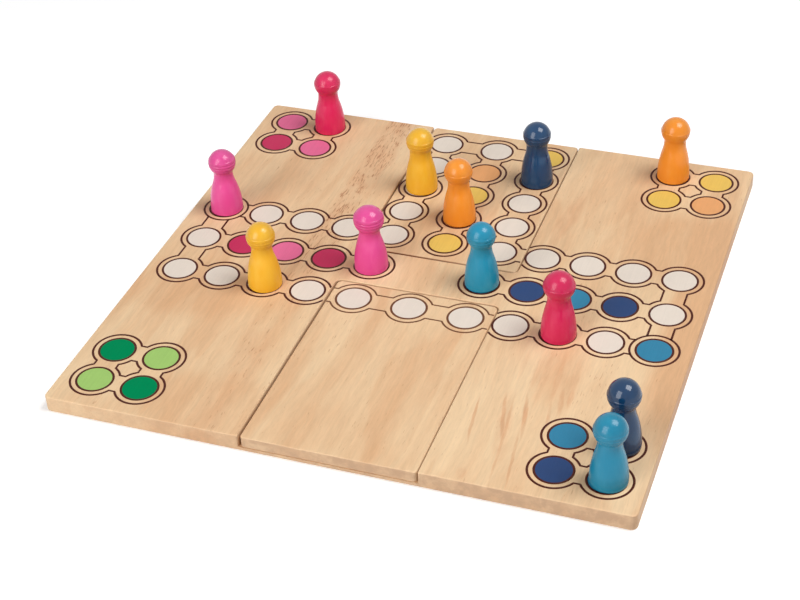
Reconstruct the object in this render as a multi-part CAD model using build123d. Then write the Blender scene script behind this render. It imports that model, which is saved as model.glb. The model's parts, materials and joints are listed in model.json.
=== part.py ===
from build123d import *
import math
import os

# Wooden ludo board with two drop-in tiles and twelve turned pawns.
#
# All sizes are in millimetres.  The origin is the middle of the board's underside, +Z is up,
# +X is the right-hand arm and +Y is the back arm.

# ---- the printed track, which everything else is laid out from -------------------------
field_pitch = 30.0  # from one field to the next along an arm
cross_pitch = 37.4  # from the board's middle line to an arm's outer row
arm_steps = 4  # steps from an arm's innermost field to its outermost
outline_radius = 15.0  # line drawn round each field
home_pitch = 29.9  # between the four fields of a home
print_shift = 1.3  # the print sits this far behind the middle of the wood

# ---- the board -------------------------------------------------------------------------
board_thickness = 11.0
border = 7.6  # bare wood between the print and the edge
board_corner = 4.0  # outer corners, seen from above
top_round = 1.0  # softened edge round the top face
bottom_round = 1.5  # softened edge round the underside

# ---- the pockets at the back and front edges -------------------------------------------
pocket_floor = 3.0  # web of wood left under a tile
pocket_side_margin = 2.1  # from the outline of the middle columns to the pocket's wall
pocket_end_margin = 3.9  # from the outline of the inner row to the pocket's end
pocket_corner = 4.0  # left by the cutter at the inner corners
pocket_mouth_corner = 1.4  # where the pocket's walls meet the edge of the board
pocket_shift = 1.0  # both pockets were cut this far right of the middle

# ---- the tiles -------------------------------------------------------------------------
tile_side_clearance = 0.7  # to each wall, when the tile is centred
tile_end_clearance = 0.4  # to the pocket's end
tile_recess = 0.4  # how far a tile's face lies under the board's
tile_outer_corner = 2.6
tile_round = 1.0  # softened edge all round both faces
back_tile_drift = 0.1  # the back tile lies this far right in its pocket
front_tile_drift = 0.3  # the front tile lies against the right wall, almost

# ---- the turned pawn -------------------------------------------------------------------
pawn_height = 46.4
base_radius = 11.05  # at the belly, the widest place
base_round = 0.9  # the edge that it stands on
belly_height = 2.4
neck_radius = 6.75
neck_length = 1.3  # straight part between the flare and the head
flare_share = 0.75  # part of the flare, from the belly up, that curves outwards
head_radius = 9.55
ridge_rise = 3.15  # from the head's middle up to the ridge that runs round it
ridge_step = 0.25  # how far the dome above the ridge stands back
ridge_fall = 0.15  # how far the ledge between them slopes down on its way out
throat_round = 3.2  # hollow where the head meets the neck

# ---- worked out ------------------------------------------------------------------------
reach = cross_pitch + arm_steps * field_pitch
half_side = reach + outline_radius + border
board_side = 2 * half_side
home_inner = reach - home_pitch
pocket_width = 2 * (cross_pitch + outline_radius + pocket_side_margin)
pocket_end = cross_pitch - outline_radius - pocket_end_margin
pocket_depth = board_thickness - pocket_floor
tile_width = pocket_width - 2 * tile_side_clearance
tile_length = half_side - pocket_end - tile_end_clearance
tile_thickness = pocket_depth - tile_recess
tile_top = pocket_floor + tile_thickness
head_middle = pawn_height - head_radius
collar_height = head_middle - math.sqrt(head_radius**2 - neck_radius**2)
neck_height = collar_height - neck_length

FRONT, BACK = -1, 1

# Each pawn: the field it stands on, how far it is off the field's middle, what carries it.
PAWNS = {
    "crimson_home_pawn": ((-home_inner, reach), (1.0, -1.0), board_thickness),
    "crimson_track_pawn": ((cross_pitch + 2 * field_pitch, -cross_pitch), (0.8, -0.8), board_thickness),
    "pink_start_pawn": ((-reach, cross_pitch), (0.9, -0.2), board_thickness),
    "pink_path_pawn": ((-cross_pitch, 0.0), (0.4, -1.1), board_thickness),
    "yellow_track_pawn": ((-cross_pitch - 2 * field_pitch, -cross_pitch), (1.1, -0.6), board_thickness),
    "yellow_tile_pawn": ((-cross_pitch, cross_pitch + 2 * field_pitch), (1.4, 0.8), tile_top),
    "orange_tile_pawn": ((0.0, cross_pitch + field_pitch), (1.0, 0.5), tile_top),
    "orange_home_pawn": ((home_inner, reach), (0.0, -0.3), board_thickness),
    "navy_tile_pawn": ((cross_pitch, cross_pitch + 3 * field_pitch), (1.0, -0.4), tile_top),
    "navy_home_pawn": ((reach, -home_inner), (1.3, 0.8), board_thickness),
    "blue_path_pawn": ((cross_pitch, 0.0), (0.1, 0.3), board_thickness),
    "blue_home_pawn": ((reach, -reach), (1.1, -0.1), board_thickness),
}


def corners_near(sketch, x, y):
    """The sketch's corners that lie at (x, y) or at its mirror image in the Y axis."""
    return [
        v
        for v in sketch.vertices()
        if abs(abs(v.X - pocket_shift) - x) < 0.01 and abs(v.Y - y) < 0.01
    ]


def pocket_outline(side, width, inner_end, outer_end, inner_corner, outer_corner, drift=0.0):
    """A pocket or a tile from above: its inner corners and its outer corners are rounded apart.

    side is BACK or FRONT; the ends are distances from the board's middle line.
    """
    length = outer_end - inner_end
    with BuildSketch() as outline:
        with Locations((pocket_shift, side * (inner_end + length / 2))):
            Rectangle(width, length)
        fillet(corners_near(outline, width / 2, side * inner_end), inner_corner)
        if outer_corner > 0:
            fillet(corners_near(outline, width / 2, side * outer_end), outer_corner)
    return Pos(drift, 0, 0) * outline.sketch


def make_board():
    """One slab: a thin floor all over, and above it the same outline less the two pockets."""
    with BuildSketch() as slab_outline:
        RectangleRounded(board_side, board_side, board_corner)
    overrun = 2 * board_corner  # so that a pocket cuts clean through the board's edge
    upper_outline = slab_outline.sketch
    for side in (FRONT, BACK):
        upper_outline -= pocket_outline(
            side, pocket_width, pocket_end, half_side + overrun, pocket_corner, 0
        )
    mouths = [
        v
        for v in upper_outline.vertices()
        if abs(abs(v.X - pocket_shift) - pocket_width / 2) < 0.01 and abs(abs(v.Y) - half_side) < 0.01
    ]
    upper_outline = fillet(mouths, pocket_mouth_corner)
    with BuildPart() as board:
        with BuildSketch():
            add(slab_outline.sketch)
        extrude(amount=pocket_floor)
        with BuildSketch(Plane.XY.offset(pocket_floor)):
            add(upper_outline)
        extrude(amount=pocket_depth)
        top_face = board.faces().filter_by(Axis.Z).sort_by(Axis.Z)[-1]
        fillet(top_face.edges(), top_round)
        bottom_face = board.faces().filter_by(Axis.Z).sort_by(Axis.Z)[0]
        fillet(bottom_face.edges(), bottom_round)
    return board.part


def make_tile(side, drift):
    """A loose tile.  It lies on the floor of its pocket, and both faces have softened edges."""
    outline = pocket_outline(
        side,
        tile_width,
        pocket_end + tile_end_clearance,
        half_side,
        pocket_corner,
        tile_outer_corner,
        drift,
    )
    with BuildPart() as tile:
        with BuildSketch(Plane.XY.offset(pocket_floor)):
            add(outline)
        extrude(amount=tile_thickness)
        flats = tile.faces().filter_by(Axis.Z)
        fillet(flats.edges(), tile_round)
    return tile.part


def make_pawn():
    """A pawn turned in one piece, standing on the origin.

    The flare from the belly to the neck is an ogee: one arc curves outwards, the next inwards,
    both are upright at their far ends, and they share a tangent where they meet.  The head is a
    ball as far up as its ridge.  There a narrow ledge leads in to the dome, a second arc that is
    level at the top.
    """
    rise = neck_height - belly_height
    narrowing = base_radius - neck_radius
    lean = 2 * math.atan2(narrowing, rise)
    lower_arc_radius = flare_share * rise / math.sin(lean)
    upper_arc_radius = (1 - flare_share) * rise / math.sin(lean)

    def on_lower_arc(angle):
        fall_in = lower_arc_radius * (1 - math.cos(angle))
        return (base_radius - fall_in, belly_height + lower_arc_radius * math.sin(angle))

    def on_upper_arc(angle):
        fall_out = upper_arc_radius * (1 - math.cos(angle))
        return (neck_radius + fall_out, neck_height - upper_arc_radius * math.sin(angle))

    def on_ball(middle, radius, angle):
        return (radius * math.cos(angle), middle + radius * math.sin(angle))

    foot = on_lower_arc(-math.asin(belly_height / lower_arc_radius))
    collar_angle = -math.acos(neck_radius / head_radius)
    ridge_angle = math.asin(ridge_rise / head_radius)
    ridge = on_ball(head_middle, head_radius, ridge_angle)
    dome_end = (ridge[0] - ridge_step, ridge[1] + ridge_fall)
    dome_height = pawn_height - dome_end[1]
    dome_radius = (dome_end[0] ** 2 + dome_height**2) / (2 * dome_height)
    dome_middle = pawn_height - dome_radius
    dome_angle = math.atan2(dome_end[1] - dome_middle, dome_end[0])
    with BuildPart() as pawn:
        with BuildSketch(Plane.XZ):
            with BuildLine():
                Line((0, 0), (foot[0], 0))
                ThreePointArc((foot[0], 0), on_lower_arc(0), on_lower_arc(lean))
                ThreePointArc(on_lower_arc(lean), on_upper_arc(lean / 2), (neck_radius, neck_height))
                Line((neck_radius, neck_height), (neck_radius, collar_height))
                ThreePointArc(
                    (neck_radius, collar_height),
                    on_ball(head_middle, head_radius, (collar_angle + ridge_angle) / 2),
                    ridge,
                )
                Line(ridge, dome_end)
                ThreePointArc(
                    dome_end,
                    on_ball(dome_middle, dome_radius, (dome_angle + math.pi / 2) / 2),
                    (0, pawn_height),
                )
                Line((0, pawn_height), (0, 0))
            face = make_face()
            fillet(face.vertices().sort_by_distance((foot[0], 0, 0))[0], base_round)
            fillet(face.vertices().sort_by_distance((neck_radius, 0, collar_height))[0], throat_round)
        revolve(axis=Axis.Z)
    return pawn.part


def main():
    os.makedirs("parts", exist_ok=True)
    pieces = {
        "board": make_board(),
        "back_tile": make_tile(BACK, back_tile_drift),
        "front_tile": make_tile(FRONT, front_tile_drift),
    }
    pawn = make_pawn()
    for name, (field, off_middle, seat) in PAWNS.items():
        place = Pos(field[0] + off_middle[0], field[1] + off_middle[1] + print_shift, seat)
        pieces[name] = place * pawn
    for name, piece in pieces.items():
        export_step(piece, f"parts/{name}.step")
        print(f"{name}: {piece.volume / 1000:.1f} cm3")


main()
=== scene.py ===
# %% [markdown]
# # A wooden ludo board, its two tiles and its pawns
#
# The solid model comes ready made: a routed board, two loose tiles that lie in its pockets and a
# dozen turned pawns.  This lesson dresses it.  The wood gets its grain, the fields and their
# outlines are printed on it, and the pawns are turned again with a finer profile and painted.
# Everything is in metres, and the origin is the middle of the board's underside.

# %% Load the fixed model
import json
import math

import bpy
from mathutils import Matrix, Vector


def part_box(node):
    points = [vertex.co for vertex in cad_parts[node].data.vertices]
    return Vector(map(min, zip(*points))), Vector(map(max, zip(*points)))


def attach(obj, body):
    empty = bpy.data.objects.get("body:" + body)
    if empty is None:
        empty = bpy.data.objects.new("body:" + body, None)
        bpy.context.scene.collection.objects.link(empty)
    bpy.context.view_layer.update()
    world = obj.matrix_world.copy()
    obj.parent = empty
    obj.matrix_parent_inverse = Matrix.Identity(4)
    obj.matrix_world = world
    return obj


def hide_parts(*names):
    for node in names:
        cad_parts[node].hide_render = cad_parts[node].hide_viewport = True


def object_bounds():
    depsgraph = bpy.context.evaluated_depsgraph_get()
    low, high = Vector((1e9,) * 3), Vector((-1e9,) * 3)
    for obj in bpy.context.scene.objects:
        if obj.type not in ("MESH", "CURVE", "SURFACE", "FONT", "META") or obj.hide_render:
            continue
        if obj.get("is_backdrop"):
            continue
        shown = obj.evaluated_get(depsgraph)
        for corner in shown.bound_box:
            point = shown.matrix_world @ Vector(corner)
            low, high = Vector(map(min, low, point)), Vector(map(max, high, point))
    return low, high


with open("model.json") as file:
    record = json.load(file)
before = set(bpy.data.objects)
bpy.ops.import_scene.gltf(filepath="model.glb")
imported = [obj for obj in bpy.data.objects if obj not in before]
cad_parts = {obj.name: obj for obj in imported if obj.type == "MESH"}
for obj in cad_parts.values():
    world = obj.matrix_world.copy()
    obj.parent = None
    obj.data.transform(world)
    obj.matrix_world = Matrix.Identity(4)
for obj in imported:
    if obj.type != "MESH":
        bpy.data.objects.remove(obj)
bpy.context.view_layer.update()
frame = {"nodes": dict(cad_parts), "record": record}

# %% [markdown]
# ## Camera
#
# The board is seen as a player sees it who stands at its front right corner, from far enough away
# that the back edge doesn't shrink much.  A Track To constraint could aim the camera.  Here a
# quaternion that turns its own -Z axis towards a point near the board's middle does it once, so
# nothing stays live, and a small roll about that axis is one more matrix.

# %% Camera
camera_place = Vector((0.3059, -0.8432, 0.6494))
camera_aim = Vector((-0.0069, -0.0299, 0.0113))
camera_roll = math.radians(-3.0)
camera_lens = 76.95  # millimetres
camera_sensor = 36.0  # millimetres wide

camera_data = bpy.data.cameras.new("camera")
camera_data.lens = camera_lens
camera_data.sensor_width = camera_sensor
camera = bpy.data.objects.new("camera", camera_data)
bpy.context.scene.collection.objects.link(camera)
looking = (camera_aim - camera_place).to_track_quat("-Z", "Y").to_matrix().to_4x4()
camera.matrix_world = Matrix.Translation(camera_place) @ looking @ Matrix.Rotation(camera_roll, 4, "Z")
bpy.context.scene.camera = camera
bpy.context.scene.view_settings.view_transform = "Standard"
print("camera to aim:", round((camera_aim - camera_place).length, 3), "m")

# %% [markdown]
# ## Helpers for node trees
#
# Every material and every Geometry Nodes tree below is built by the same small functions, because
# a tree that is spelled out node by node hides what it says.  The first one adds a node, sets its
# properties and fills its inputs: a socket is linked, anything else is a value.  The others are
# short names for the nodes that are used most.

# %% Node helpers: adding and arithmetic
def add(tree, kind, inputs=None, **settings):
    """Add a node to a tree.  inputs maps a socket's name or number to a value or to a socket."""
    node = tree.nodes.new(kind)
    for name, value in settings.items():
        setattr(node, name, value)
    for key, value in (inputs or {}).items():
        if isinstance(value, bpy.types.NodeSocket):
            tree.links.new(value, node.inputs[key])
        else:
            node.inputs[key].default_value = value
    return node


def made(tree, kind, inputs=None, **settings):
    """Add a node and hand over its first output."""
    return add(tree, kind, inputs, **settings).outputs[0]


def maths(tree, operation, *values):
    """A Math node with its inputs filled in order."""
    return made(tree, "ShaderNodeMath", dict(enumerate(values)), operation=operation)


def times(tree, result, *factors):
    """The product of values and sockets."""
    for factor in factors:
        result = maths(tree, "MULTIPLY", result, factor)
    return result


def plus(tree, result, *terms):
    """The sum of values and sockets."""
    for term in terms:
        result = maths(tree, "ADD", result, term)
    return result


# %% Node helpers: ranges, vectors and shaders
def between(tree, value, low, high, to_low=0.0, to_high=1.0):
    """A smooth step: to_low below low, to_high above high."""
    limits = {"From Min": low, "From Max": high, "To Min": to_low, "To Max": to_high}
    return made(tree, "ShaderNodeMapRange", {"Value": value, **limits}, interpolation_type="SMOOTHSTEP")


def apart(tree, vector):
    """The three parts of a vector."""
    return add(tree, "ShaderNodeSeparateXYZ", {0: vector}).outputs


def length(tree, vector):
    """The length of a vector."""
    return add(tree, "ShaderNodeVectorMath", {0: vector}, operation="LENGTH").outputs["Value"]


def object_place(tree):
    """Where a point of the surface lies on the object."""
    return add(tree, "ShaderNodeTexCoord").outputs["Object"]


def emptied(block):
    """The node tree of a new material or world, without the nodes that it comes with."""
    block.use_nodes = True
    block.node_tree.nodes.clear()
    return block.node_tree


# %% [markdown]
# ## Light and floor
#
# Two softboxes light the set: one high on the right, which throws the pawns' soft shadows to the
# left, and a wide one low in front on the left, which shows as the second highlight on each head.
# Area lamps do that best, because a point lamp's highlight is a dot and its shadow is hard.  A
# plain white world fills the rest.  The floor is a white sheet that still takes shadows; what the
# camera and shiny surfaces see of it directly is lifted to white by a little glow, and by more of
# it far from the board, where the lamps fade.

# %% Light: the lamps
def softbox(name, direction, distance, width, height, watts):
    """A rectangular lamp that looks at the board from a direction."""
    data = bpy.data.lights.new(name, "AREA")
    data.shape = "RECTANGLE"
    data.size = width
    data.size_y = height
    data.energy = watts
    lamp = bpy.data.objects.new(name, data)
    bpy.context.scene.collection.objects.link(lamp)
    place = Vector(direction).normalized() * distance
    lamp.matrix_world = Matrix.Translation(place) @ place.to_track_quat("Z", "Y").to_matrix().to_4x4()


softbox("softbox_right", (0.452, 0.045, 0.891), distance=2.0, width=1.1, height=1.1, watts=31.0)
softbox("softbox_left", (-0.370, -0.808, 0.459), distance=2.0, width=1.1, height=1.75, watts=27.0)


# %% Light: the white world
def sees_white(tree):
    """1 for the rays that are shown a white surrounding: from the camera, a gloss or glass."""
    ray = add(tree, "ShaderNodeLightPath").outputs
    seen = maths(tree, "MAXIMUM", ray["Is Camera Ray"], ray["Is Glossy Ray"])
    return maths(tree, "MAXIMUM", seen, ray["Is Transmission Ray"])


white = (1.0, 1.0, 1.0, 1.0)
fill_strength = 0.05  # the world as a lamp
seen_strength = 1.0  # the world as it is seen

world = bpy.data.worlds.new("studio")
bpy.context.scene.world = world
world_tree = emptied(world)
fill_light = made(world_tree, "ShaderNodeBackground", {"Color": white, "Strength": fill_strength})
white_back = made(world_tree, "ShaderNodeBackground", {"Color": white, "Strength": seen_strength})
world_mix = made(
    world_tree, "ShaderNodeMixShader", {0: sees_white(world_tree), 1: fill_light, 2: white_back}
)
add(world_tree, "ShaderNodeOutputWorld", {"Surface": world_mix})
print("world:", world.name, "fills with", fill_strength)

# %% Floor
floor_half = 3.0
floor_white = (0.86, 0.86, 0.86, 1.0)
glow_from, glow_to = 0.5, 1.6  # distances from the board's middle
glow_near, glow_far = 0.38, 0.97  # the glow at those distances

floor_mesh = bpy.data.meshes.new("floor")
floor_corners = [(x * floor_half, y * floor_half, 0) for x, y in ((-1, -1), (1, -1), (1, 1), (-1, 1))]
floor_mesh.from_pydata(floor_corners, [], [(0, 1, 2, 3)])
floor = bpy.data.objects.new("floor", floor_mesh)
bpy.context.scene.collection.objects.link(floor)
floor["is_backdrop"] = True

floor_finish = bpy.data.materials.new("white_floor")
floor_tree = emptied(floor_finish)
floor_sheet = made(floor_tree, "ShaderNodeBsdfDiffuse", {"Color": floor_white})
from_board = length(floor_tree, object_place(floor_tree))
glow_strength = between(floor_tree, from_board, glow_from, glow_to, glow_near, glow_far)
floor_glow = made(floor_tree, "ShaderNodeEmission", {"Color": white, "Strength": glow_strength})
floor_lift = made(floor_tree, "ShaderNodeAddShader", {0: floor_sheet, 1: floor_glow})
floor_mix = made(
    floor_tree, "ShaderNodeMixShader", {0: sees_white(floor_tree), 1: floor_sheet, 2: floor_lift}
)
add(floor_tree, "ShaderNodeOutputMaterial", {"Surface": floor_mix})
floor.data.materials.append(floor_finish)
print("floor:", 2 * floor_half, "m wide")

# %% [markdown]
# ## Wood
#
# The board and the tiles are pale hardwood under a satin varnish, with the grain along Y.  Seen
# close, such wood is several things at once: soft clouds and bands of warmer wood, fine streaks
# and fibres, and short brown pores, all drawn out along the grain.  A picture of wood would be
# the same on every piece, so each of these is a noise texture on Object coordinates instead.  Its
# Y axis is squeezed, and so it comes out stretched along the board.  The fourth dimension of the
# noise is a seed, so the tiles aren't cut from the board's own pattern.  The same noises aren't
# stretched across the grain, so a plank's ends show specks, not fibres.

# %% Wood: the grain
def noise(tree, place, scale, seed, detail=3.0, roughness=0.55):
    """Noise with a number of features per metre along each axis."""
    scaled = made(tree, "ShaderNodeMapping", {"Vector": place, "Scale": scale})
    look = {"Vector": scaled, "W": seed, "Scale": 1.0, "Detail": detail, "Roughness": roughness}
    return add(tree, "ShaderNodeTexNoise", look, noise_dimensions="4D").outputs["Fac"]


def stretched_noise(tree, place, across, along, seed, detail=3.0, roughness=0.55):
    """Noise with a number of features per metre across the grain and along it."""
    return noise(tree, place, (across, along, across), seed, detail, roughness)


# features per metre across the grain and along it, what the seed gets on top, detail, roughness
grain = {
    "clouds": (17.0, 9.0, 3.0, 3.0, 0.55),
    "bands": (60.0, 5.0, 2.0, 3.0, 0.45),
    "stripes": (38.0, 5.0, 2.2, 2.0, 0.55),
    "mottle": (160.0, 60.0, 2.5, 3.0, 0.55),
    "streaks": (330.0, 16.0, 5.0, 3.0, 0.60),
    "fibres": (800.0, 90.0, 4.0, 4.0, 0.70),
    "pores": (1350.0, 150.0, 6.0, 1.0, 0.55),
    "crowds": (45.0, 12.0, 7.0, 2.0, 0.55),
}
print("noises in the wood:", ", ".join(grain))


# %% Wood: places on it
def patch(tree, place, middle, reach, lean=0.0):
    """1 at the middle of an oval patch, falling to 0 at its reach in X and Y.  lean turns it."""
    mapped = made(
        tree,
        "ShaderNodeMapping",
        {"Vector": place, "Location": (*middle, 0.0), "Rotation": (0.0, 0.0, lean), "Scale": (*reach, 1.0)},
        vector_type="TEXTURE",
    )
    return between(tree, length(tree, mapped), 0.45, 1.0, 1.0, 0.0)


def wandering(tree, place, across, along, seed, reach):
    """The place pushed sideways by a slow noise, so that nothing on it runs dead straight."""
    push = maths(tree, "SUBTRACT", stretched_noise(tree, place, across, along, seed, detail=2.0), 0.5)
    sideways = made(tree, "ShaderNodeCombineXYZ", {"X": times(tree, push, reach)})
    return made(tree, "ShaderNodeVectorMath", {0: place, 1: sideways}, operation="ADD")


# %% Wood: colours
def from_srgb(red, green, blue):
    """A colour as a paint maker's chart gives it, 0 to 255, made linear for the shaders."""
    channels = (red / 255, green / 255, blue / 255)
    return tuple(c / 12.92 if c <= 0.04045 else ((c + 0.055) / 1.055) ** 2.4 for c in channels) + (1.0,)


def mix_colours(tree, share, first, second, blend="MIX"):
    """Mix two colours by a share from 0 to 1."""
    inputs = {0: share, 6: first, 7: second}
    return add(tree, "ShaderNodeMix", inputs, data_type="RGBA", blend_type=blend).outputs[2]


def shaded(tree, colour, factor):
    """A colour made lighter or darker by a factor."""
    grey = made(tree, "ShaderNodeCombineColor", {0: factor, 1: factor, 2: factor})
    return mix_colours(tree, 1.0, colour, grey, "MULTIPLY")


wood_pale = from_srgb(239, 207, 166)
wood_warm = from_srgb(222, 176, 133)
wood_flame = from_srgb(211, 152, 110)
pore_and_side_shade = from_srgb(164, 104, 68)
edge_highlight = from_srgb(240, 208, 168)
dull_end_and_shade = from_srgb(201, 164, 131)
seam_dust_and_shade = from_srgb(108, 58, 30)
print("pale wood, linear:", [round(channel, 3) for channel in wood_pale[:3]])

# %% [markdown]
# ## Wood: from the ground colour to the pores
#
# The colour is built up as the wood is: a ground of bands and clouds, flames over it, and then the
# pores.  What one plank has and the next one lacks can't come from a noise, so it is listed one
# by one: warmer or paler areas, flames that lean a little against the grain, and a plank crowded
# with pores behind a glue joint.  Each step below takes a colour and hands over the next one.

# %% Wood: ground and flames
def ground(tree, place, noises, warm_areas):
    """Bands and clouds of warmer wood, and the listed areas (middle, reach, strength)."""
    tone = plus(
        tree,
        times(tree, noises["bands"], 0.50),
        times(tree, noises["clouds"], 0.45),
        times(tree, noises["mottle"], 0.15),
        between(tree, noises["stripes"], 0.50, 0.535, -0.03, 0.05),
        *(times(tree, patch(tree, place, middle, reach), strength) for middle, reach, strength in warm_areas),
    )
    return mix_colours(tree, between(tree, tone, 0.36, 0.80), wood_pale, wood_warm)


def flamed(tree, colour, place, uneven, flames):
    """Narrow flames (middle, reach, strength, lean in radians) of darker wood."""
    for middle, reach, strength, lean in flames:
        share = times(tree, patch(tree, place, middle, reach, lean), strength, uneven)
        colour = mix_colours(tree, share, colour, wood_flame)
    return colour


# %% Wood: a plank crowded with pores
plank_border = 0.005  # how wide the joint side of the crowd is
glue_half = 0.0007  # half the width of a glue line
plank_fade = 0.06  # the crowd is thinner before y = -plank_fade than behind y = plank_fade


def crowded(tree, colour, crowd, places, uneven, joint, gone):
    """The crowd of pores between a glue joint's x and the x at which it has gone."""
    wavy_across, across, along = places
    plank = times(
        tree,
        between(tree, wavy_across, joint, joint + plank_border),
        between(tree, across, 0.4 * joint + 0.6 * gone, gone, 1.0, 0.0),
        between(tree, along, -plank_fade, plank_fade, 0.55, 1.0),
    )
    crowd = maths(tree, "MAXIMUM", crowd, times(tree, plank, uneven))
    colour = mix_colours(tree, times(tree, plank, times(tree, uneven, 0.38)), colour, wood_flame)
    glue = times(
        tree,
        between(tree, across, joint - glue_half, joint),
        0.06,
        between(tree, across, joint, joint + glue_half, 1.0, 0.0),
    )
    return mix_colours(tree, glue, colour, pore_and_side_shade), crowd


# %% [markdown]
# ## Wood: edges, ends and sides
#
# The softened edges are painted a little paler, a painted highlight along their rounding, and
# their varnish is duller.  The ends are painted duller, partly end grain and partly a painted
# shade that grows towards the right, and the sides are painted darker, a painted shade.  In the
# seams beside the tiles that is dust and painted shade together, and a tile's end that shows in a
# seam gets a painted shadow.
# All of this depends on which way a face looks, so the true normal tells the places apart, and
# nothing has to be painted by hand.

# %% Wood: edges, ends and sides
end_fade = (-0.20, 0.17)  # x's over which the ends' painted shade goes from its left to its right share
seam_sides = (0.075, 0.080)  # a side that is nearer to the middle than this is in a seam
gap_shade_depth = (0.0006, 0.0015)  # the painted shadow's reach over a tile's end, thick and in all
gap_shade_fade = (-0.03, 0.05)  # the x's between which there gets to be half as much of it


def painted_light_and_seam_dust(tree, colour, across, along, uneven, ends, gap_shaded_end):
    """The colour with painted highlight, painted shade and seam dust, and how much of an edge a place is."""
    normal = add(tree, "ShaderNodeNewGeometry").outputs["True Normal"]
    sideways, endways, upright = [maths(tree, "ABSOLUTE", part) for part in apart(tree, normal)]
    edge = times(tree, between(tree, upright, 0.10, 0.50), between(tree, upright, 0.60, 0.97, 1.0, 0.0))
    # painted highlight: the rounded edges a little paler
    colour = mix_colours(tree, times(tree, edge, 0.25), colour, edge_highlight)
    # the ends duller: partly end grain, partly a painted shade that grows to the right
    end_grain_and_shade = times(
        tree, between(tree, endways, 0.60, 0.90), uneven, between(tree, across, *end_fade, *ends)
    )
    colour = mix_colours(tree, end_grain_and_shade, colour, dull_end_and_shade)
    # painted shade on the sides; in the seams it is dust and painted shade together
    side = times(tree, between(tree, sideways, 0.35, 0.80), 0.30)
    in_seam = between(tree, maths(tree, "ABSOLUTE", across), *seam_sides, 1.0, 0.0)
    colour = mix_colours(tree, side, colour, mix_colours(tree, in_seam, pore_and_side_shade, seam_dust_and_shade))
    # a painted shadow in the gap along a tile's end, darker on the left
    if gap_shaded_end is not None:
        gap_shade = between(tree, along, gap_shaded_end + gap_shade_depth[0], gap_shaded_end + gap_shade_depth[1], 1.0, 0.0)
        gap_shade = times(tree, gap_shade, between(tree, across, *gap_shade_fade, 1.0, 0.5))
        colour = mix_colours(tree, gap_shade, colour, seam_dust_and_shade)
    return colour, edge


# %% Wood: the whole material
def end_material(tree, colour, roughness, shine, relief, strength, depth):
    """A glossy surface with a bump of a strength and a depth in metres, and the tree's output."""
    bump = made(tree, "ShaderNodeBump", {"Strength": strength, "Distance": depth, "Height": relief})
    look = {"Base Color": colour, "Roughness": roughness, "Specular IOR Level": shine, "Normal": bump}
    shader = made(tree, "ShaderNodeBsdfPrincipled", look)
    add(tree, "ShaderNodeOutputMaterial", {"Surface": shader})


def wood(name, seed, warm_areas=(), flames=(), pore_plank=None, gap_shaded_end=None, ends=(0.30, 1.0)):
    """Satin wood with the grain along Y.

    pore_plank is a glue joint's x and the x at which the crowd of pores behind it has gone.
    gap_shaded_end is the y of an end that shows in a seam, which gets a painted shadow there.  ends
    is how much of the duller end colour, partly painted shade, the ends have at the left and right.
    """
    material = bpy.data.materials.new(name)
    tree = emptied(material)
    place = object_place(tree)
    across, along, _ = apart(tree, place)
    wavy = wandering(tree, place, 110.0, 45.0, seed + 1.5, 0.004)
    grown = wandering(tree, wavy, 9.0, 4.0, seed + 1.0, 0.020)
    noises = {
        kind: stretched_noise(tree, grown, wide, long, seed + more, detail, roughness)
        for kind, (wide, long, more, detail, roughness) in grain.items()
    }
    uneven = between(tree, noises["mottle"], 0.35, 0.65, 0.55, 1.15)

    colour = ground(tree, grown, noises, warm_areas)
    colour = flamed(tree, colour, wavy, uneven, flames)
    crowd = between(tree, noises["crowds"], 0.45, 0.70, 0.05, 0.45)
    if pore_plank:
        places = (apart(tree, wavy)["X"], across, along)
        colour, crowd = crowded(tree, colour, crowd, places, uneven, *pore_plank)
    pores = between(tree, plus(tree, noises["pores"], times(tree, crowd, 0.17)), 0.70, 0.78)
    pore_depth = between(tree, crowd, 0.30, 0.90, 0.36, 0.66)
    colour = mix_colours(tree, times(tree, pores, pore_depth), colour, pore_and_side_shade)
    fine = times(
        tree,
        between(tree, noises["fibres"], 0.25, 0.75, 0.935, 1.045),
        between(tree, noises["streaks"], 0.30, 0.70, 0.965, 1.035),
    )
    colour, edge = painted_light_and_seam_dust(tree, shaded(tree, colour, fine), across, along, uneven, ends, gap_shaded_end)

    fibres_up, pores_down = times(tree, noises["fibres"], 0.35), times(tree, pores, 0.30)
    relief = maths(tree, "SUBTRACT", fibres_up, pores_down)
    gloss = plus(tree, between(tree, noises["fibres"], 0.20, 0.80, 0.40, 0.54), times(tree, edge, 0.08))
    end_material(tree, colour, gloss, shine=0.25, relief=relief, strength=0.35, depth=0.0002)
    return material


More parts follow.
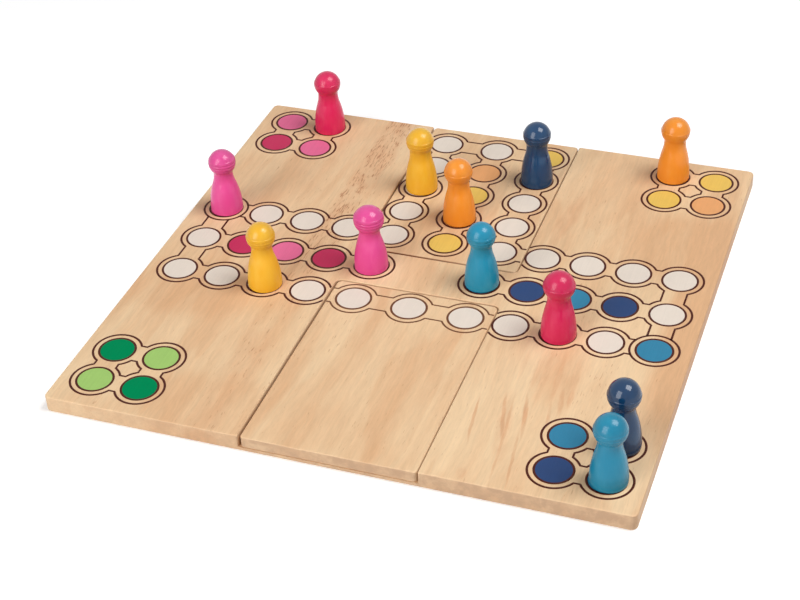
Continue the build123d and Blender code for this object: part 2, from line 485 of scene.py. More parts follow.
# %% Wood: the board and the tiles
board_wood = wood(
    "pale_board_wood",
    seed=11.0,
    warm_areas=[
        ((0.150, 0.075), (0.042, 0.055), 0.22),  # behind the right arm
        ((0.172, 0.000), (0.022, 0.150), 0.22),  # along the right edge
        ((-0.080, -0.160), (0.060, 0.040), 0.12),
        ((-0.140, -0.060), (0.060, 0.030), 0.08),
        ((-0.140, 0.080), (0.050, 0.060), 0.06),
        ((0.085, -0.125), (0.035, 0.070), -0.07),
        ((0.111, -0.075), (0.032, 0.040), 0.06),
        ((0.000, 0.000), (0.035, 0.025), -0.04),
    ],
    flames=[
        ((0.0716, -0.126), (0.0012, 0.026), 0.50, 0.14),
        ((0.0880, -0.121), (0.0015, 0.030), 0.45, 0.20),
        ((0.0905, -0.130), (0.0060, 0.042), 0.24, 0.15),
        ((0.0928, -0.140), (0.0013, 0.052), 0.42, 0.09),
        ((0.0996, -0.117), (0.0020, 0.025), 0.62, 0.19),
        ((0.1029, -0.153), (0.0012, 0.032), 0.45, 0.12),
        ((0.1125, -0.112), (0.0014, 0.015), 0.38, 0.15),
        ((0.1160, -0.099), (0.0020, 0.016), 0.40, 0.15),
        ((0.1209, -0.095), (0.0022, 0.011), 0.42, 0.03),
        ((0.0960, -0.074), (0.0030, 0.026), 0.25, 0.03),
        ((0.0860, -0.071), (0.0026, 0.019), 0.22, 0.03),
        ((0.1010, -0.080), (0.0030, 0.032), 0.26, 0.04),
        ((0.1090, -0.078), (0.0024, 0.028), 0.28, 0.06),
        ((0.1185, -0.076), (0.0034, 0.026), 0.24, 0.03),
        ((0.0790, -0.173), (0.0035, 0.006), 0.28, 0.20),
        ((0.0715, 0.088), (0.0075, 0.048), 0.30, -0.08),
    ],
    pore_plank=(-0.0907, -0.062),
)
back_tile_wood = wood("pale_back_tile_wood", seed=31.0, gap_shaded_end=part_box("back_tile")[0].y)
front_tile_wood = wood(
    "pale_front_tile_wood",
    seed=51.0,
    warm_areas=[((-0.048, -0.12), (0.012, 0.09), 0.15)],
    ends=(0.75, 1.0),
)
finishes = {"board": board_wood, "back_tile": back_tile_wood, "front_tile": front_tile_wood}
for node_name, finish in finishes.items():
    node = frame["nodes"][node_name]
    node.data.materials.clear()
    node.data.materials.append(finish)
    print(node_name, "has", len(node.data.polygons), "faces and is now", finish.name)

# %% [markdown]
# ## The plan of the print
#
# The whole track hangs on one pitch, from a field to the next along an arm, and one wider pitch
# that spaces the three rows of an arm.  Written in those two, a place says what it is, and a
# change of pitch moves the whole track: a field's column and row count steps outwards from the
# row or column nearest the middle.  The back tile carries one arm, and the front tile bridges the
# track with three fields.

# %% The plan: sizes
field_pitch = 0.0300  # from a field to the next along an arm
cross_pitch = 0.0374  # from the middle line to an arm's outer row
bridge_pitch = 0.0372  # the three fields of the front tile were printed a little closer
home_pitch = 0.0299  # between the four fields of a home
arm_end = cross_pitch + 4 * field_pitch  # the outermost field of an arm
print_shift = 0.0013  # the whole print sits this far behind the wood's middle
spot_radius = 0.0108  # the coloured disc of a field
ring_radius = 0.0112  # the thin ring round the disc, at the middle of its line
outline_radius = 0.0150  # the line round a field, at its middle
corridor_half = 0.0074  # half the width of the strip that joins two fields
line_width = 0.00142  # of rings and outlines
worn_width = 0.00116  # of the front tile's outline, which has worn thin
print("an arm reaches", round(arm_end * 1000, 1), "mm from the middle")


# %% The plan: fields and corridors
def arm_line(steps, row, side):
    """The places of an arm's fields in one row: side is -1 for the left arm, 1 for the right."""
    return [(side * (cross_pitch + step * field_pitch), row) for step in steps]


def chain(places):
    """Corridors that join each place to the next."""
    return list(zip(places, places[1:]))


left_back = arm_line((4, 3, 2, 1), cross_pitch, -1)
left_path = arm_line((4, 3, 2, 1, 0), 0.0, -1)
left_front = arm_line((4, 3, 2, 1), -cross_pitch, -1)
right_back = arm_line((1, 2, 3, 4), cross_pitch, 1)
right_path = arm_line((0, 1, 2, 3, 4), 0.0, 1)
right_front = arm_line((1, 2, 3, 4), -cross_pitch, 1)
tile_left, tile_path, tile_right = (
    [(column, cross_pitch + step * field_pitch) for step in range(5)]
    for column in (-cross_pitch, 0.0, cross_pitch)
)
bridge = [(column, -cross_pitch) for column in (-bridge_pitch, 0.0, bridge_pitch)]
pink_start, blue_start, yellow_start = left_back[0], right_front[-1], tile_right[-1]


def home(side, end):
    """A home's four fields, anticlockwise from its front left one, and the corridors round it."""
    middle = arm_end - home_pitch / 2
    corners = ((-1, -1), (1, -1), (1, 1), (-1, 1))
    places = [(side * middle + x * home_pitch / 2, end * middle + y * home_pitch / 2) for x, y in corners]
    return places, chain(places + places[:1])


homes = {(side, end): home(side, end) for side in (-1, 1) for end in (-1, 1)}
print("homes:", len(homes), "fields on the left arm:", len(left_back + left_path + left_front))

# %% [markdown]
# ## Ink
#
# The fields are screen printed: an opaque, nearly matt ink that lies on the wood as a thin film.
# It could be painted into the wood's material, but then it would have no edge to catch the light,
# so each ink is a material of its own, for pieces of its own.  It hides the wood's colour but not
# its texture: one colour that the fibres below make a little uneven.

# %% Ink: the material
def ink(name, colour, unevenness=0.06, shine=0.15):
    """Matt ink through which the wood's fibres can be felt."""
    material = bpy.data.materials.new(name)
    tree = emptied(material)
    place = object_place(tree)
    fibres = stretched_noise(tree, place, 900.0, 35.0, 3.0, roughness=0.65)
    blots = stretched_noise(tree, place, 160.0, 160.0, 4.0)
    uneven = plus(tree, times(tree, fibres, 0.6), times(tree, blots, 0.4))
    tone = between(tree, uneven, 0.3, 0.7, 1.0 - unevenness, 1.0 + unevenness / 2)
    roughness = between(tree, blots, 0.3, 0.7, 0.42, 0.55)
    colour = shaded(tree, from_srgb(*colour), tone)
    end_material(tree, colour, roughness, shine, relief=fibres, strength=0.25, depth=0.0001)
    return material


ink_recipes = {
    "outline_ink": dict(colour=(74, 26, 12)),
    "worn_outline_ink": dict(colour=(112, 70, 46)),
    "white_ink": dict(colour=(233, 220, 206), unevenness=0.04),
    "crimson_ink": dict(colour=(198, 52, 93)),
    "pink_ink": dict(colour=(233, 113, 154)),
    "dark_green_ink": dict(colour=(0, 138, 85), shine=0.03),
    "light_green_ink": dict(colour=(163, 202, 112)),
    "yellow_ink": dict(colour=(235, 195, 97)),
    "orange_ink": dict(colour=(233, 168, 112)),
    "navy_ink": dict(colour=(44, 69, 114)),
    "blue_ink": dict(colour=(54, 131, 165)),
}
inks = {name: ink(name, **recipe) for name, recipe in ink_recipes.items()}
print("inks:", ", ".join(inks))

# %% [markdown]
# ## Geometry Nodes: growing what repeats
#
# Sixty fields repeat one spot and one ring.  A loop that copies a mesh would do, but Geometry
# Nodes keep the sizes as named inputs that can be tried out in the editor.  A tree works on a mesh
# whose vertices are the middles of the fields.  The helpers below make a tree, set its inputs,
# evaluate it, keep the result as a plain mesh and take the modifier off again, so that nothing
# live is left on a finished piece.

# %% Growing: trees
def new_tree(name, **inputs):
    """An empty Geometry Nodes tree.  inputs gives each input's socket type by its name."""
    tree = bpy.data.node_groups.new(name, "GeometryNodeTree")
    tree.interface.new_socket("Geometry", in_out="INPUT", socket_type="NodeSocketGeometry")
    for socket_name, kind in inputs.items():
        tree.interface.new_socket(socket_name, in_out="INPUT", socket_type="NodeSocket" + kind)
    tree.interface.new_socket("Geometry", in_out="OUTPUT", socket_type="NodeSocketGeometry")
    return tree, add(tree, "NodeGroupInput").outputs


def end_tree(tree, geometry, material):
    """Realize what the tree made, give it its material and hand it over."""
    real = made(tree, "GeometryNodeRealizeInstances", {0: geometry})
    dressed = made(tree, "GeometryNodeSetMaterial", {"Geometry": real, "Material": material})
    add(tree, "NodeGroupOutput", {0: dressed})
    print(tree.name, "has", len(tree.nodes), "nodes")


# %% Growing: results
def seed_mesh(name, points, edges=()):
    """A mesh of bare points, with edges where they form a path."""
    mesh = bpy.data.meshes.new(name)
    mesh.from_pydata([tuple(point) for point in points], list(edges), [])
    return mesh


def grow(name, seeds, tree, **values):
    """Run a tree on a seed mesh, and keep what it made as a plain mesh."""
    piece = bpy.data.objects.new(name, seeds)
    bpy.context.scene.collection.objects.link(piece)
    maker = piece.modifiers.new("maker", "NODES")
    maker.node_group = tree
    for socket in tree.interface.items_tree:
        if socket.name in values:
            maker[socket.identifier] = values[socket.name]
    depsgraph = bpy.context.evaluated_depsgraph_get()
    grown = bpy.data.meshes.new_from_object(
        piece.evaluated_get(depsgraph), preserve_all_data_layers=True, depsgraph=depsgraph
    )
    piece.modifiers.remove(maker)
    piece.data = grown
    grown.name = name
    return piece


# %% [markdown]
# ## Spots and rings
#
# A spot is a flat disc of colour; its ring is a thin line round it that covers the disc's edge.
# The disc is a Mesh Cylinder as low as a film; the ring is a circle swept with a small rectangle,
# because a filled ring would need its hole cut.  Both are put on every point.  The films start a
# little inside the wood, so that no light passes under them.

# %% Spots and rings: the trees
film_sunk = 0.00005  # how far every film starts below the wood's face
spot_film = 0.00008  # how far a spot stands above it
line_film = 0.00011  # lines lie over the edges of the spots
circle_steps = 96


def copies(tree, points, shape):
    """The shape on every point."""
    return made(tree, "GeometryNodeInstanceOnPoints", {"Points": points, "Instance": shape})


def line_section(tree, inputs):
    """The rectangle that a line of ink is swept with."""
    size = {"Width": inputs["Width"], "Height": inputs["Film"]}
    return made(tree, "GeometryNodeCurvePrimitiveQuadrilateral", size)


spots_tree, spot_in = new_tree("printed_spots", Radius="Float", Film="Float", Material="Material")
spot_size = {"Vertices": circle_steps, "Radius": spot_in["Radius"], "Depth": spot_in["Film"]}
spot_disc = add(spots_tree, "GeometryNodeMeshCylinder", spot_size, fill_type="NGON").outputs["Mesh"]
end_tree(spots_tree, copies(spots_tree, spot_in["Geometry"], spot_disc), spot_in["Material"])

line_inputs = {"Width": "Float", "Film": "Float", "Material": "Material"}
rings_tree, ring_in = new_tree("printed_rings", Radius="Float", **line_inputs)
ring_size = {"Resolution": circle_steps, "Radius": ring_in["Radius"]}
ring_path = made(rings_tree, "GeometryNodeCurvePrimitiveCircle", ring_size)
ring_sweep = {"Curve": ring_path, "Profile Curve": line_section(rings_tree, ring_in)}
ring_band = made(rings_tree, "GeometryNodeCurveToMesh", ring_sweep)
end_tree(rings_tree, copies(rings_tree, ring_in["Geometry"], ring_band), ring_in["Material"])

# %% [markdown]
# ## The outline
#
# One line runs round every group of joined fields, like a coast round islands with causeways.  A
# Boolean union of discs and strips would give it too, but with slivers where they just touch.  It
# is found by walking instead: along a field's circle, anticlockwise, until the mouth of a
# corridor, along that corridor's side to the next field, and on round its circle.  A walk closes
# when it is back at its start, or ends where a corridor runs out at a seam or meets a start field,
# whose own circle is drawn whole.

# %% The outline: arcs and corridors
mouth_angle = math.asin(corridor_half / outline_radius)  # half the gap that a corridor cuts in a circle
mouth_reach = outline_radius * math.cos(mouth_angle)  # from a field's middle to a corridor's mouth
arc_step = math.radians(5)


def arc(middle, start, turn):
    """Points on a field's circle, from an angle through a turn."""
    steps = max(2, round(turn / arc_step))
    angles = [start + turn * step / steps for step in range(steps + 1)]
    return [
        (middle[0] + outline_radius * math.cos(a), middle[1] + outline_radius * math.sin(a)) for a in angles
    ]


def corridor_end(here, there, side, whole):
    """Where one side of a corridor stops: at a start field's circle, or at the place itself."""
    across, up = there[0] - here[0], there[1] - here[1]
    run = math.hypot(across, up)
    reach = run - mouth_reach if there in whole else run
    across, up = across / run, up / run
    return (
        here[0] + across * reach - up * side * corridor_half,
        here[1] + up * reach + across * side * corridor_half,
    )


# %% The outline: the walk
def outline(fields, corridors, whole=()):
    """Every line round fields that corridors join: a list of (points, closed).

    A corridor may lead to a place that isn't in fields: the line then runs out towards it.
    """
    spokes = {place: [] for place in fields if place not in whole}
    for pair in corridors:
        for here, there in (pair, pair[::-1]):
            if here in spokes:
                angle = math.atan2(there[1] - here[1], there[0] - here[0]) % math.tau
                spokes[here].append((angle, there))
    for meeting in spokes.values():
        meeting.sort()
    walked = set()

    def walk(here, number):
        """Points from the left side of one corridor on, and whether the walk closes."""
        points = []
        while (here, number) not in walked:
            walked.add((here, number))
            angle = spokes[here][number][0]
            leaving, there = spokes[here][(number + 1) % len(spokes[here])]
            turn = (leaving - angle) % math.tau or math.tau
            points += arc(here, angle + mouth_angle, turn - 2 * mouth_angle)
            if there not in spokes:
                return points + [corridor_end(here, there, -1, whole)], False
            here, number = there, [place for _, place in spokes[there]].index(here)
        return points, True

    starts = [(place, number) for place in spokes for number in range(len(spokes[place]))]
    lines = [(arc(place, 0.0, math.tau)[:-1], True) for place in whole]
    for place, number in starts:
        beyond = spokes[place][number][1]
        if beyond not in spokes:
            points, closed = walk(place, number)
            lines.append(([corridor_end(place, beyond, 1, whole)] + points, closed))
    lines += [walk(*start) for start in starts if start not in walked]
    return lines


# %% [markdown]
# ## The outline as a printed line
#
# The walk gives a path, and Geometry Nodes turn a path into a line of ink: the mesh becomes a
# curve, and a rectangle as wide as the line is swept along it.  A plain sweep gets thinner where
# a path turns sharply, so every point carries the factor by which a mitred corner is longer, and
# the tree reads it as the curve's radius.

# %% The outline: the tree
lines_tree, line_in = new_tree("printed_line", **line_inputs)
line_path = made(lines_tree, "GeometryNodeMeshToCurve", {0: line_in["Geometry"]})
line_mitre = made(lines_tree, "GeometryNodeInputNamedAttribute", {"Name": "mitre"}, data_type="FLOAT")
line_wide = made(lines_tree, "GeometryNodeSetCurveRadius", {"Curve": line_path, "Radius": line_mitre})
line_level = made(lines_tree, "GeometryNodeSetCurveNormal", {"Curve": line_wide}, mode="Z_UP")
line_sweep = {"Curve": line_level, "Profile Curve": line_section(lines_tree, line_in), "Fill Caps": True}
line_band = made(lines_tree, "GeometryNodeCurveToMesh", line_sweep)
line_clean = made(lines_tree, "GeometryNodeRemoveAttribute", {"Geometry": line_band, "Name": "mitre"})
end_tree(lines_tree, line_clean, line_in["Material"])


# %% The outline: its seeds
def cut_ends(points, low, high):
    """An open line without what reaches past x = low or x = high at its ends."""
    for _ in range(2):
        while not low <= points[1][0] <= high:
            points = points[1:]
        first, second = points[0], points[1]
        limit = min(max(first[0], low), high)
        if limit != first[0]:
            share = (limit - first[0]) / (second[0] - first[0])
            points = [(limit, first[1] + share * (second[1] - first[1]))] + points[1:]
        points = points[::-1]
    return points


def mitre_factor(before, here, after):
    """How much longer a mitred corner is than the line is wide."""
    arriving = Vector((here[0] - before[0], here[1] - before[1]))
    leaving = Vector((after[0] - here[0], after[1] - here[1]))
    return 1 / math.cos(arriving.angle(leaving) / 2)


def line_seeds(lines, height):
    """One mesh of paths from a list of (points, closed), each point with its mitre factor."""
    corners, edges, factors = [], [], []
    for points, closed in lines:
        first, count = len(corners), len(points)
        corners += [(x, y, height) for x, y in points]
        edges += [(first + i, first + (i + 1) % count) for i in range(count if closed else count - 1)]
        for i in range(count):
            inside = closed or 0 < i < count - 1
            around = points[i - 1], points[i], points[(i + 1) % count]
            factors.append(mitre_factor(*around) if inside else 1.0)
    mesh = seed_mesh("outline", corners, edges)
    mesh.attributes.new("mitre", "FLOAT", "POINT").data.foreach_set("value", factors)
    return mesh


# %% [markdown]
# ## Printing the three pieces of wood
#
# The board, the back tile and the front tile were printed apart: the tiles' prints sit up to a
# millimetre to the right of the board's, and each line stops where its own piece of wood does.
# So each gets spots, rings and an outline of its own, which move with it when it is lifted out.
# A spot's colour is its place's: start fields and homes in their player's colours, home paths in
# two shades that take turns, everything else off-white.

# %% Printing: one piece of wood
def print_on(body, shift, spots, groups, line_ink="outline_ink", width=line_width):
    """Print spots {ink: [places]} and outlines on one body, and let them ride on it.

    shift moves the print on its wood.  groups holds (lines, low, high): the outlines, and the
    stretch of x on which the wood carries them.
    """
    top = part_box(body)[1].z
    spot_height = top + (spot_film - film_sunk) / 2
    line_height = top + (line_film - film_sunk) / 2
    drawn = []
    for lines, low, high in groups:
        for points, closed in lines:
            points = [(x + shift[0], y + shift[1]) for x, y in points]
            drawn.append((points if closed else cut_ends(points, low, high), closed))
    middles = []
    for ink_name, places in spots.items():
        points = [(x + shift[0], y + shift[1], spot_height) for x, y in places]
        middles += [(x, y, line_height) for x, y, _ in points]
        piece = grow(
            f"{body}_{ink_name.removesuffix('_ink')}_spots",
            seed_mesh("spots", points),
            spots_tree,
            Radius=spot_radius,
            Film=spot_film + film_sunk,
            Material=inks[ink_name],
        )
        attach(piece, body)
    line_look = {"Film": line_film + film_sunk, "Material": inks[line_ink]}
    ring_seeds = seed_mesh("rings", middles)
    rings = grow(f"{body}_rings", ring_seeds, rings_tree, Radius=ring_radius, Width=line_width, **line_look)
    outlines = grow(f"{body}_outline", line_seeds(drawn, line_height), lines_tree, Width=width, **line_look)
    for piece in (rings, outlines):
        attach(piece, body)
    print(body, ":", len(middles), "fields,", len(drawn), "outlines,", len(outlines.data.polygons), "faces")


def by_turns(places, *ink_names):
    """Share places out among inks in turn."""
    return [(ink_names[i % len(ink_names)], place) for i, place in enumerate(places)]


def sorted_by_ink(pairs):
    """{ink: [places]} from (ink, place) pairs."""
    groups = {}
    for ink_name, place in pairs:
        groups.setdefault(ink_name, []).append(place)
    return groups


# %% Printing: the board
board_spots = (
    by_turns(left_back[1:] + left_front + left_path[:1], "white_ink")
    + by_turns(right_back + right_front[:-1] + right_path[-1:], "white_ink")
    + by_turns(left_path[1:], "crimson_ink", "pink_ink")
    + by_turns(right_path[:-1], "blue_ink", "navy_ink")
    + [("pink_ink", pink_start), ("blue_ink", blue_start)]
    + by_turns(homes[-1, 1][0], "crimson_ink", "pink_ink")
    + by_turns(homes[-1, -1][0], "light_green_ink", "dark_green_ink")
    + by_turns(homes[1, 1][0], "yellow_ink", "orange_ink")
    + by_turns(homes[1, -1][0], "navy_ink", "blue_ink")
)
left_arm = left_back + left_path + left_front
right_arm = right_back + right_path + right_front
left_end = [left_back[0], left_path[0], left_front[0]]
right_end = [right_back[-1], right_path[-1], right_front[-1]]
left_ways = chain(left_back) + chain(left_path) + chain(left_front) + chain(left_end)
right_ways = chain(right_back) + chain(right_path) + chain(right_front) + chain(right_end)
left_ways += [(left_back[-1], tile_left[0]), (left_front[-1], bridge[0])]
right_ways += [(right_back[0], tile_right[0]), (right_front[0], bridge[-1])]
home_lines = [line for places, round_trip in homes.values() for line in outline(places, round_trip)]

soft_edge = 0.0010  # the rounding along the top edges of board and tiles
seam_overlap = 0.0004  # how far ink runs out over it at a seam
ink_play = soft_edge - seam_overlap  # from a piece's side to where its ink stops
pocket_middle = 0.0010  # both pockets were cut this far right of the middle
pocket_half = 0.0545
left_limit = pocket_middle - pocket_half - ink_play
right_limit = pocket_middle + pocket_half + ink_play
board_low, board_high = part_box("board")
board_groups = [
    (outline(left_arm, left_ways, [pink_start]), board_low.x, left_limit),
    (outline(right_arm, right_ways, [blue_start]), right_limit, board_high.x),
    (home_lines, board_low.x, board_high.x),
]
print_on("board", (0.0, print_shift), sorted_by_ink(board_spots), board_groups)


# %% Printing: the tiles
def tile_group(body, lines):
    """Lines with the stretch of x on which a tile carries them."""
    low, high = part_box(body)
    return [(lines, low.x + ink_play, high.x - ink_play)]


tile_spots = (
    by_turns(tile_left + tile_right[:-1] + tile_path[-1:], "white_ink")
    + by_turns(tile_path[:-1], "yellow_ink", "orange_ink")
    + [("yellow_ink", yellow_start)]
)
tile_columns = tile_left + tile_path + tile_right
tile_end = [tile_left[-1], tile_path[-1], tile_right[-1]]
tile_ways = chain(tile_left) + chain(tile_path) + chain(tile_right) + chain(tile_end)
tile_ways += [(tile_left[0], left_back[-1]), (tile_right[0], right_back[0])]
arm_lines = outline(tile_columns, tile_ways, [yellow_start])
bridge_lines = outline(bridge, chain([left_front[-1]] + bridge + [right_front[0]]))

back_shift = (0.0005, print_shift + 0.0003)
front_shift = (0.0010, print_shift + 0.0005)
print_on("back_tile", back_shift, sorted_by_ink(tile_spots), tile_group("back_tile", arm_lines))
front_group = tile_group("front_tile", bridge_lines)
print_on("front_tile", front_shift, {"white_ink": bridge}, front_group, "worn_outline_ink", worn_width)

# %% [markdown]
# ## The pawn's profile
#
# A pawn is turned on a lathe, so all of it is in one profile: half a section, from the middle of
# the foot to the top of the head.  The flare is an ogee, two arcs that share a tangent.  A hollow
# leads from the neck to the head, which is a ball as far up as its ridge; there a narrow ledge
# leads in to the dome.  The tool has left grooves round the ball under the ridge, deeper on some
# pawns than on others.  A few points under a Subdivision Surface would be quicker, but would round
# the ridge off, so the profile is put together from exact arcs.

# %% The profile: sizes
pawn_height = 0.0464
belly_radius = 0.01105  # at the widest place
belly_height = 0.0024
foot_round = 0.0012  # the edge that it stands on
foot_lean = 0.0001  # how far the side under the belly leans in
neck_radius = 0.00675
neck_length = 0.0013  # straight part between the flare and the head
flare_share = 0.75  # part of the flare, from the belly up, that curves outwards
head_radius = 0.00955
ridge_rise = 0.00315  # from the head's middle up to the ridge
ridge_step = 0.00025  # how far the dome above the ridge stands back
ridge_fall = 0.00015  # how far the ledge between them slopes down on its way out
ridge_round = 0.00006  # the ridge is nearly sharp
throat_round = 0.0032  # the hollow between the neck and the head
groove_pitch = 0.0021  # from one groove under the ridge to the next
groove_width = 0.0004  # about half a groove, from its middle out
neck_height = pawn_height - head_radius - math.sqrt(head_radius**2 - neck_radius**2) - neck_length
print("the flare ends", round(neck_height * 1000, 2), "mm up")


# %% The profile: arcs
def swing(middle, radius, start, stop, steps):
    """Points of an arc from one angle to another, both ends included."""
    angles = [start + (stop - start) * step / steps for step in range(steps + 1)]
    return [Vector((middle[0] + radius * math.cos(a), middle[1] + radius * math.sin(a))) for a in angles]


def rounded_corner(before, corner, after, radius, steps=6):
    """Points of the arc that softens a corner between two straight runs."""
    into, out = (before - corner).normalized(), (after - corner).normalized()
    half = into.angle(out) / 2
    middle = corner + (into + out).normalized() * radius / math.sin(half)
    start = corner + into * radius / math.tan(half) - middle
    stop = corner + out * radius / math.tan(half) - middle
    return [middle + start.lerp(stop, step / steps).normalized() * radius for step in range(steps + 1)]


# %% The profile: flare and ball
def ogee(neck, steps=22):
    """The flare from just above the foot's rounding to a neck of a given radius."""
    rise, narrowing = neck_height - belly_height, belly_radius - neck
    lean = 2 * math.atan2(narrowing, rise)
    lower = flare_share * rise / math.sin(lean)
    upper = (1 - flare_share) * rise / math.sin(lean)
    start = -math.asin((belly_height - 1.2 * foot_round) / lower)
    below = swing((belly_radius - lower, belly_height), lower, start, lean, steps)
    above = swing((neck + upper, neck_height), upper, math.pi + lean, math.pi, steps)
    return below + above[1:]


def ball(middle, radius, start, ridge, groove_depth, steps=84):
    """The head from the throat to the ridge, with three grooves under the ridge."""
    points = []
    for point in swing((0.0, middle), radius, start, math.asin(ridge / radius), steps):
        under_ridge = (middle + ridge - point.y) / groove_pitch
        off_groove = (under_ridge - min(3, max(1, round(under_ridge)))) * groove_pitch / groove_width
        points.append(Vector((point.x - groove_depth * math.exp(-(off_groove**2)), point.y)))
    return points


# %% The profile: from foot to dome
def profile(groove=0.0, drop=0.0, neck=0.0, head=0.0, lift=0.0, ridge=ridge_rise, throat=throat_round):
    """The whole profile as (radius, height) pairs, from the foot's middle to the top.

    groove is a depth, drop is how far the dome falls short, neck and head are what those radii
    have over the plain ones, and lift is how far up the ball has moved.  ridge and throat stand
    in for ridge_rise and throat_round.
    """
    thickness, radius = neck_radius + neck, head_radius + head
    head_middle = pawn_height - head_radius + lift
    flare = ogee(thickness)
    foot_edge = Vector((flare[0].x - foot_lean, 0.0))
    throat_out = thickness + throat
    throat_down = math.sqrt((radius + throat) ** 2 - throat_out**2)
    throat_angle = math.atan2(throat_down, -throat_out)
    under = ball(head_middle, radius, throat_angle - math.pi, ridge, groove)
    ridge_point = under.pop()
    dome_end = ridge_point + Vector((-ridge_step, ridge_fall))
    dome_height = pawn_height - drop - dome_end.y
    dome_radius = (dome_end.x**2 + dome_height**2) / (2 * dome_height)
    dome_middle = dome_end.y + dome_height - dome_radius
    dome_angle = math.atan2(dome_end.y - dome_middle, dome_end.x)

    points = [Vector((0.0, 0.0)), Vector((0.6 * belly_radius, 0.0))]
    points += rounded_corner(Vector((0.0, 0.0)), foot_edge, flare[0], foot_round)
    points += flare
    points += swing((throat_out, head_middle - throat_down), throat, math.pi, throat_angle, 8)
    points += under[1:]
    points += rounded_corner(under[-1], ridge_point, dome_end, ridge_round, steps=3)
    points += swing((0.0, dome_middle), dome_radius, dome_angle, math.pi / 2, 36)[:-1]
    return points + [Vector((0.0, dome_end.y + dome_height))]


print("profile:", len(profile()), "points, widest", round(max(point.x for point in profile()), 5), "m")

# %% [markdown]
# ## Turning
#
# A lathe repeats the profile at every angle, and that is what the tree does.  A Screw modifier
# turns a profile too, but it would take a second step to mark the points and a third to place
# the pawn, and here one tree does all of it.  The tree makes a grid with one row for each point
# of the profile and one column for each step of the turn, puts each of the grid's points at its
# row's radius and height and its column's angle, and merges the seam and the two poles.  Before
# it moves the pawn to its place, it stores where each point lies about the pawn's own axis.  The
# paint reads that, so that its streaks follow every pawn's own turning.  It also reads the pawn's
# number, so that no two are alike, and its tone, which makes the pawn a little lighter or darker:
# partly its coat's own colour, and partly painted light and shade.

# %% Turning: from a grid to a turned shape
turn_steps = 96
seam_width = 0.000001  # points that are nearer than this are one point

lathe_tree, lathe_in = new_tree("lathe", Place="Vector", Number="Float", Tone="Float", Material="Material")
profile_size = add(lathe_tree, "GeometryNodeAttributeDomainSize", {"Geometry": lathe_in["Geometry"]})
profile_count = profile_size.outputs["Point Count"]
grid_size = {"Vertices X": turn_steps + 1, "Vertices Y": profile_count}
lathe_grid = made(lathe_tree, "GeometryNodeMeshGrid", grid_size)
grid_index = made(lathe_tree, "GeometryNodeInputIndex")
grid_row = maths(lathe_tree, "MODULO", grid_index, profile_count)
grid_column = maths(lathe_tree, "FLOOR", maths(lathe_tree, "DIVIDE", grid_index, profile_count))
turned_angle = times(lathe_tree, grid_column, math.tau / turn_steps)

any_place = made(lathe_tree, "GeometryNodeInputPosition")
row_of = {"Geometry": lathe_in["Geometry"], "Value": any_place, "Index": grid_row}
profile_point = made(lathe_tree, "GeometryNodeSampleIndex", row_of, data_type="FLOAT_VECTOR")
out, up, _ = apart(lathe_tree, profile_point)
turned_x = times(lathe_tree, out, maths(lathe_tree, "COSINE", turned_angle))
turned_y = times(lathe_tree, out, maths(lathe_tree, "SINE", turned_angle))
about_axis = made(lathe_tree, "ShaderNodeCombineXYZ", {"X": turned_x, "Y": turned_y, "Z": up})
print("a turn has", turn_steps, "steps")

# %% Turning: closing, marking and placing it
turned = made(lathe_tree, "GeometryNodeSetPosition", {"Geometry": lathe_grid, "Position": about_axis})
turned = made(lathe_tree, "GeometryNodeMergeByDistance", {"Geometry": turned, "Distance": seam_width})
turned = made(lathe_tree, "GeometryNodeSetShadeSmooth", {"Geometry": turned, "Shade Smooth": True})
for attribute, value, kind in (
    ("turned", any_place, "FLOAT_VECTOR"),
    ("pawn_number", lathe_in["Number"], "FLOAT"),
    ("pawn_tone_and_light", lathe_in["Tone"], "FLOAT"),
):
    marking = {"Geometry": turned, "Name": attribute, "Value": value}
    turned = made(lathe_tree, "GeometryNodeStoreNamedAttribute", marking, data_type=kind, domain="POINT")
placing = {"Geometry": turned, "Translation": lathe_in["Place"]}
end_tree(lathe_tree, made(lathe_tree, "GeometryNodeTransform", placing), lathe_in["Material"])

# %% [markdown]
# ## Paint
#
# The pawns are dipped in gloss paint.  It is smooth but not perfect: the grain shows through as
# faint ridges along the axis, the paint has run a little thicker here and thinner there, and the
# turning marks under the head can still be felt.  A Principled BSDF with a high gloss alone would
# look like plastic, so noises about the axis move its colour, gloss and bump by a few percent.

# %% Paint: the material
mark_pitch = 0.0007  # from one of the finest turning marks to the next
marks_begin = (0.030, 0.034)  # heights between which they fade in, under the head
marks_end = (0.038, 0.040)  # heights between which they fade out, at the ridge
darker_head_span = (0.024, 0.034)  # heights between which the colour gets darker towards the head
head_tone = 0.88  # its tone from there up


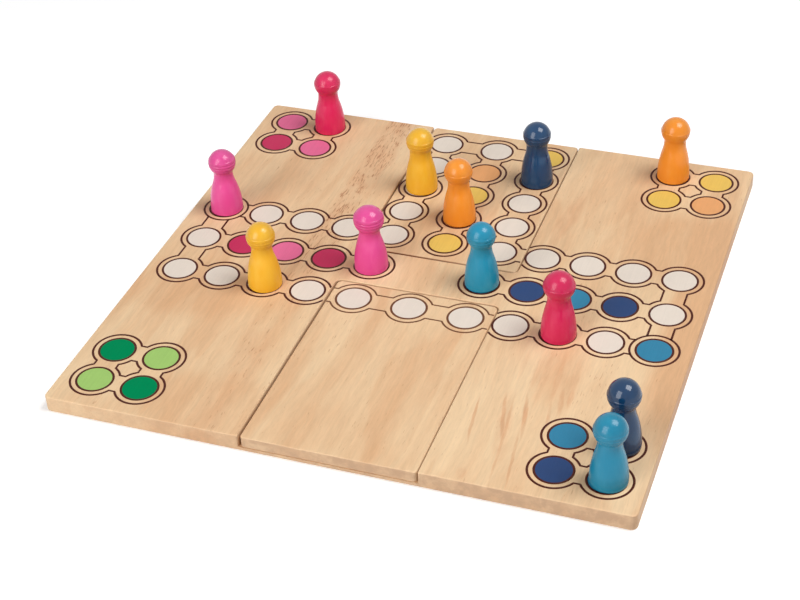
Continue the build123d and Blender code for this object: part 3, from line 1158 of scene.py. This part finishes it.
def paint(name, colour, thin, roughness=(0.17, 0.27), shine=0.35):
    """Gloss paint on a turned piece.  thin is the colour where the coat is thin."""
    material = bpy.data.materials.new(name)
    tree = emptied(material)
    about, number, tone = (
        add(tree, "ShaderNodeAttribute", attribute_name=attribute).outputs[output]
        for attribute, output in (("turned", "Vector"), ("pawn_number", "Fac"), ("pawn_tone_and_light", "Fac"))
    )
    height = apart(tree, about)["Z"]

    def paint_noise(around, along, offset, detail=3.0):
        """Noise with a number of features per metre round the axis and along it."""
        seed = plus(tree, number, offset)
        return noise(tree, about, (around, around, along), seed, detail, roughness=0.5)

    coat = paint_noise(150.0, 60.0, 0.2)
    raised_grain = paint_noise(1300.0, 45.0, 0.5)
    specks = paint_noise(900.0, 900.0, 0.8, detail=1.0)
    colour, thin = from_srgb(*colour), from_srgb(*thin)
    for share in (
        between(tree, coat, 0.42, 0.80, 0.0, 0.55),
        between(tree, raised_grain, 0.55, 0.80, 0.0, 0.12),
        between(tree, specks, 0.80, 0.86, 0.0, 0.50),
    ):
        colour = mix_colours(tree, share, colour, thin)
    # the pawn's tone, partly painted light and shade, with a darker colour towards the head
    tone = times(tree, tone, between(tree, height, *darker_head_span, 1.0, head_tone))

    marks = maths(tree, "SINE", times(tree, height, math.tau / mark_pitch))
    on_ball = times(tree, between(tree, height, *marks_begin), between(tree, height, *marks_end, 1.0, 0.0))
    relief = plus(
        tree, times(tree, raised_grain, 0.25), times(tree, coat, 0.5), times(tree, marks, on_ball, 0.04)
    )
    gloss = between(tree, coat, 0.30, 0.75, *roughness)
    end_material(tree, shaded(tree, colour, tone), gloss, shine, relief, strength=0.2, depth=0.0002)
    return material


paint_recipes = {
    "crimson": dict(colour=(220, 36, 91), thin=(230, 64, 110)),
    "pink": dict(colour=(230, 76, 151), thin=(238, 104, 168), roughness=(0.11, 0.20)),
    "yellow": dict(colour=(245, 184, 46), thin=(250, 203, 74)),
    "orange": dict(colour=(246, 148, 42), thin=(250, 166, 72)),
    "navy": dict(colour=(18, 66, 110), thin=(36, 84, 127), roughness=(0.10, 0.19), shine=0.45),
    "blue": dict(colour=(30, 146, 182), thin=(54, 164, 196)),
}
paints = {f"{name}_paint": paint(f"{name}_gloss", **recipe) for name, recipe in paint_recipes.items()}
print("paints:", ", ".join(paints))

# %% [markdown]
# ## The pawns
#
# Each pawn takes the place of the plain one in the solid model: its axis is the middle of that
# one's box, and its foot stands at the box's bottom.  The record says which paint it has.  Twelve
# copies would be quicker, but no two pawns off a lathe are quite alike: the ridge sits higher or
# lower, the ball and the neck are a little thicker or thinner, and the hollow between them is
# tighter or fuller.  So each has a tone, partly its coat's own and partly painted light and shade,
# and what sets it apart from the plain profile, in metres.

# %% The pawns
# first each pawn's tone: partly its coat's own colour, partly painted light and shade
turning = {
    "crimson_home": (1.10, dict(neck=0.00035, lift=0.0008, ridge=0.0016, throat=0.0042)),
    "crimson_track": (1.00, dict(neck=0.0004, head=0.0004, lift=0.0008, ridge=0.0005, throat=0.0042)),
    "pink_start": (1.08, dict(groove=0.0003, drop=0.0004, neck=-0.0002, head=-0.0003, lift=0.0004)),
    "pink_path": (1.10, dict(groove=0.00034, drop=0.0004, head=0.0004, lift=0.0003)),
    "yellow_track": (1.06, dict(groove=0.0002, head=-0.0002, ridge=0.0016, lift=0.0004, throat=0.0040)),
    "yellow_tile": (1.06, dict(groove=0.0002, drop=-0.0004, neck=0.0006, lift=0.0010, ridge=0.0018)),
    "orange_tile": (1.12, dict(drop=-0.0003, neck=0.00035, lift=0.0010, ridge=0.0004, throat=0.0042)),
    "orange_home": (1.06, dict(neck=0.0007, head=0.0003, lift=0.0006, ridge=0.0010, throat=0.0045)),
    "navy_tile": (0.95, dict(groove=0.0002, drop=-0.0002, neck=0.0005, lift=0.0008, ridge=0.0020)),
    "navy_home": (0.80, dict(groove=0.0002, head=0.0002, ridge=0.0008)),
    "blue_path": (1.04, dict(groove=0.0002, drop=0.0005, head=-0.0003, ridge=0.0018)),
    "blue_home": (0.86, dict(groove=0.0002, neck=0.0002, head=0.0002, lift=0.0003, ridge=0.0011)),
}
slots = {part["node"]: part["material_slot"] for part in frame["record"]["subparts"]}
pawn_nodes = sorted(node_name for node_name in slots if node_name.endswith("_pawn"))
for pawn_number, node_name in enumerate(pawn_nodes):
    low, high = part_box(node_name)
    tone, shape = turning[node_name.removesuffix("_pawn")]
    pawn = grow(
        f"{node_name}_painted",
        seed_mesh("profile", [(point.x, point.y, 0.0) for point in profile(**shape)]),
        lathe_tree,
        Place=((low.x + high.x) / 2, (low.y + high.y) / 2, low.z),
        Number=float(pawn_number),
        Tone=tone,
        Material=paints[slots[node_name]],
    )
    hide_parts(node_name)
    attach(pawn, node_name)
print("turned", len(pawn_nodes), "pawns of", len(pawn.data.polygons), "faces")

# %% The size of what is shown
low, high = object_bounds()
print("visual box:", [round(v, 4) for v in (*low, *high)])
